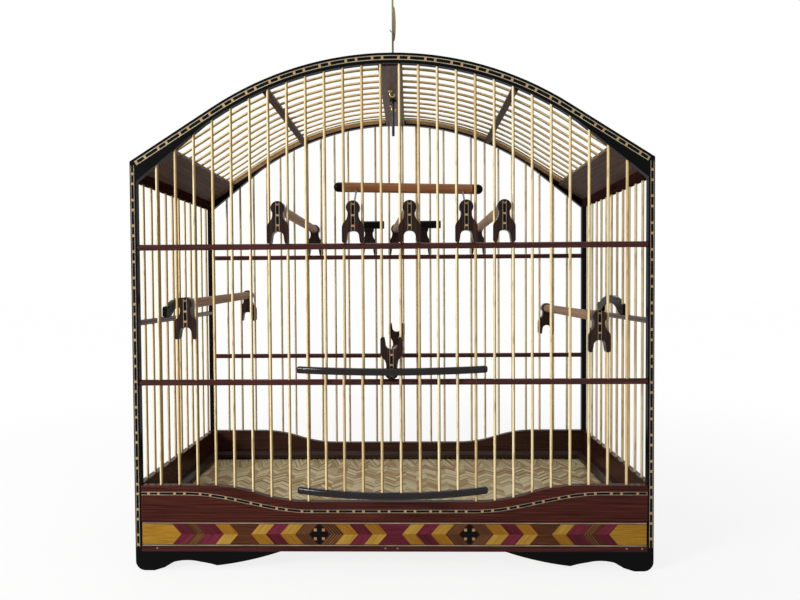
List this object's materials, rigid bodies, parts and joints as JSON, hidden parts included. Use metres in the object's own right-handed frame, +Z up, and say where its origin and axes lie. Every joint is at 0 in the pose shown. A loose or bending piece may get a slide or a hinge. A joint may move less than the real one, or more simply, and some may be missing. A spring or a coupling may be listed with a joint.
{
  "type": "bird cage",
  "caption": "Songbird cage of lacquered wood and bamboo wire with an arched roof, a lifting door, a floor drawer with a mat, clip-on perches and a swivelling hanging hook.",
  "frame": {"origin": "centre of the bounding box, on the plane that the feet stand on", "axes": "+Z up, the door and the drawer front face -Y, +X to the right as seen from the front"},
  "size_m": [0.5, 0.2387, 0.6238],
  "materials": {
    "black_lacquer": "gloss black lacquer, light inlay lines on the frame",
    "base_wood": "dark reddish brown lacquered wood",
    "strip_wood": "reddish brown lacquered wood",
    "rail_wood": "glossy reddish brown round rods",
    "roof_wood": "satin brown wood",
    "bamboo": "fine split bamboo, light yellow",
    "marquetry": "geometric marquetry band in yellow, purple and brown",
    "plain_wood": "plain planed wood",
    "straw": "woven straw mat",
    "perch_wood": "smooth turned wood",
    "bracket_wood": "dark brown lacquered wood with an inlay line",
    "brass": "polished",
    "olive_brass": "aged wire",
    "black_metal": "black rod",
    "thin_steel": "thin wire"
  },
  "bodies": {
    "cage": {"posts": "black_lacquer", "arch_front": "black_lacquer", "arch_back": "black_lacquer", "foot_front_left": "black_lacquer", "foot_front_right": "black_lacquer", "foot_back_left": "black_lacquer", "foot_back_right": "black_lacquer", "side_arches": "black_lacquer", "tee_perches": "black_lacquer", "high_caps": "black_lacquer", "skirting_long": "black_lacquer", "skirting_short": "black_lacquer", "board_front": "base_wood", "board_back": "base_wood", "board_left": "base_wood", "board_right": "base_wood", "strip_front": "strip_wood", "strip_back": "strip_wood", "strips_side": "strip_wood", "rail_front_upper": "rail_wood", "rail_front_lower": "rail_wood", "rail_back_upper": "rail_wood", "rail_back_lower": "rail_wood", "rail_left": "rail_wood", "rail_right": "rail_wood", "ridge_board": "roof_wood", "ribs": "roof_wood", "eave_boards": "roof_wood", "side_top_boards": "roof_wood", "wires_front_left": "bamboo", "wires_front_right": "bamboo", "wires_front_centre": "bamboo", "wires_back": "bamboo", "wires_left": "bamboo", "wires_right": "bamboo", "roof_wires_left": "bamboo", "roof_wires_right": "bamboo", "runners": "plain_wood", "perches_upper": "perch_wood", "perches_side": "perch_wood", "perch_low": "perch_wood", "high_perch": "perch_wood", "brackets_upper": "bracket_wood", "brackets_high_perch": "bracket_wood", "brackets_side": "bracket_wood", "brackets_low": "bracket_wood", "pins": "brass", "cup_hooks": "brass", "high_wires": "thin_steel"},
    "door": {"door_bar_upper": "black_lacquer", "door_bar_lower": "black_lacquer", "door_wires": "bamboo"},
    "drawer": {"drawer_front": "marquetry", "drawer_floor": "plain_wood", "drawer_sides": "plain_wood", "drawer_back": "plain_wood", "straw_mat": "straw"},
    "hanger": {"hanger_bolt": "black_metal", "hanger_wire": "olive_brass", "hanger_strand": "olive_brass"}
  },
  "joints": [
    {"name": "door_lift", "type": "slide", "parent": "cage", "child": "door", "axis": [0, 0, 1], "range_m": [-0.005, 0.099]},
    {"name": "drawer_slide", "type": "slide", "parent": "cage", "child": "drawer", "axis": [0, -1, 0], "range_m": [0, 0.16]},
    {"name": "hanger_swivel", "type": "hinge", "parent": "cage", "child": "hanger", "pos_m": [0, 0.00635, 0.489], "axis": [0, 0, 1], "continuous": true}
  ]
}
